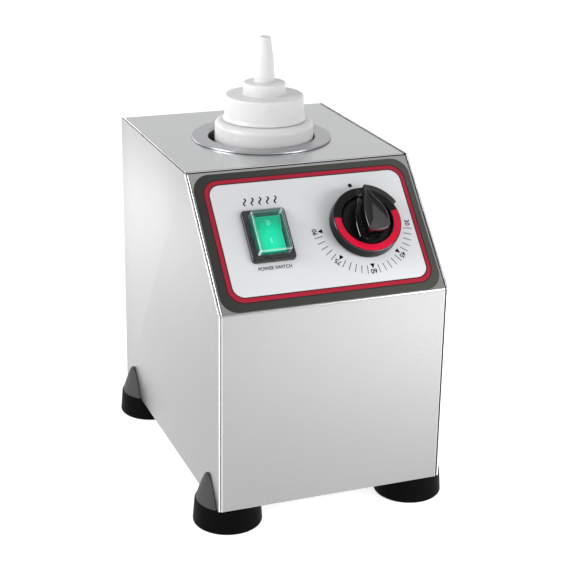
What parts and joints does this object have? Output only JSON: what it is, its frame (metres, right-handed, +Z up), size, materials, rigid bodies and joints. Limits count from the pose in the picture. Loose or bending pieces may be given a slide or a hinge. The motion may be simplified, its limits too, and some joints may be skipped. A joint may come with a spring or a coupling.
{
  "type": "sauce bottle warmer",
  "caption": "Counter-top sauce warmer: sloped sheet-steel case, heated dry well holding a squeeze bottle, lit power switch, thermostat knob, corner feet.",
  "frame": {"origin": "centre of the whole part's box at its lowest plane, where the four feet rest", "axes": "+Z up, front of the case and its sloped control panel towards -Y, +X to the right seen from the front"},
  "size_m": [0.1834, 0.2516, 0.3059],
  "materials": {
    "case_steel": "fine-grain stainless sheet, satin",
    "well_steel": "drawn stainless, satin",
    "overlay_film": "printed polyester film, silver grey field, red band, dark grey border",
    "black_plastic": "moulded, semi-gloss",
    "red_plastic": "printed red arc, glossy",
    "lit_green": "translucent green, lit from inside",
    "clear_plastic": "clear flexible silicone-like boot",
    "foot_rubber": "matte black rubber",
    "bottle_plastic": "white polyethylene, soft sheen",
    "seal_silicone": "translucent grey seal",
    "zinc_plated": "zinc plated steel",
    "heater_steel": "aluminised steel",
    "brass": "plain brass",
    "copper": "bare copper",
    "insulation": "mineral wool felt",
    "wire_sleeve": "silicone wire sleeve",
    "terminal_nylon": "moulded nylon"
  },
  "bodies": {
    "housing": {"thermostat_body": "heater_steel", "thermostat_screw_left": "zinc_plated", "thermostat_screw_right": "zinc_plated", "control_overlay": "overlay_film", "switch_housing": "black_plastic", "switch_blade_1": "brass", "switch_blade_2": "brass", "switch_blade_3": "brass", "switch_lamp": "clear_plastic", "switch_cover": "clear_plastic", "front_panel": "case_steel", "top_deck": "case_steel", "bottom_plate": "case_steel", "side_panel_left": "case_steel", "side_panel_right": "case_steel", "rear_panel": "case_steel", "rear_screw_1": "zinc_plated", "rear_screw_2": "zinc_plated", "rear_screw_3": "zinc_plated", "rear_screw_4": "zinc_plated", "foot_1": "foot_rubber", "foot_screw_1": "zinc_plated", "foot_2": "foot_rubber", "foot_screw_2": "zinc_plated", "foot_3": "foot_rubber", "foot_screw_3": "zinc_plated", "foot_4": "foot_rubber", "foot_screw_4": "zinc_plated", "well_liner": "well_steel", "well_retaining_ring": "zinc_plated", "heater_band": "heater_steel", "heater_clamp_screw": "zinc_plated", "insulation_sleeve": "insulation", "over_temperature_cutout": "heater_steel", "sensor_bulb": "copper", "capillary_tube": "copper", "cable_gland_body": "black_plastic", "cable_gland_cap": "black_plastic", "cable_gland_locknut": "black_plastic", "terminal_block": "terminal_nylon", "earth_stud": "brass", "earth_nut": "brass", "wire_live": "wire_sleeve", "wire_switch_to_thermostat": "wire_sleeve", "wire_neutral": "wire_sleeve", "wire_earth": "wire_sleeve"},
    "knob": {"knob": "black_plastic", "knob_red_arc": "red_plastic", "thermostat_shaft": "zinc_plated"},
    "rocker": {"switch_rocker": "lit_green"},
    "bottle": {"bottle_body": "bottle_plastic"},
    "cap_seal": {"cap_seal": "seal_silicone"},
    "cap": {"bottle_cap": "bottle_plastic"}
  },
  "joints": [
    {"name": "knob_turn", "type": "hinge", "parent": "housing", "child": "knob", "pos_m": [0.033, -0.09052, 0.19966], "axis": [0, -0.72, 0.694], "range_deg": [-267, 0]},
    {"name": "rocker_tilt", "type": "hinge", "parent": "housing", "child": "rocker", "pos_m": [-0.03525, -0.08835, 0.19701], "axis": [1, 0, 0], "range_deg": [-16, 0]},
    {"name": "bottle_lift", "type": "slide", "parent": "housing", "child": "bottle", "axis": [0, 0, 1], "range_m": [0, 0.18]},
    {"name": "cap_rise", "type": "slide", "parent": "bottle", "child": "cap_seal", "axis": [0, 0, 1], "range_m": [0, 0.0136]},
    {"name": "cap_turn", "type": "hinge", "parent": "cap_seal", "child": "cap", "pos_m": [0.002, 0.0233, 0.248], "axis": [0, 0, 1], "range_deg": [0, 540]}
  ],
  "couplings": [
    {"joint": "cap_rise", "follows": "cap_turn", "m_per_rad": 0.0014324}
  ]
}
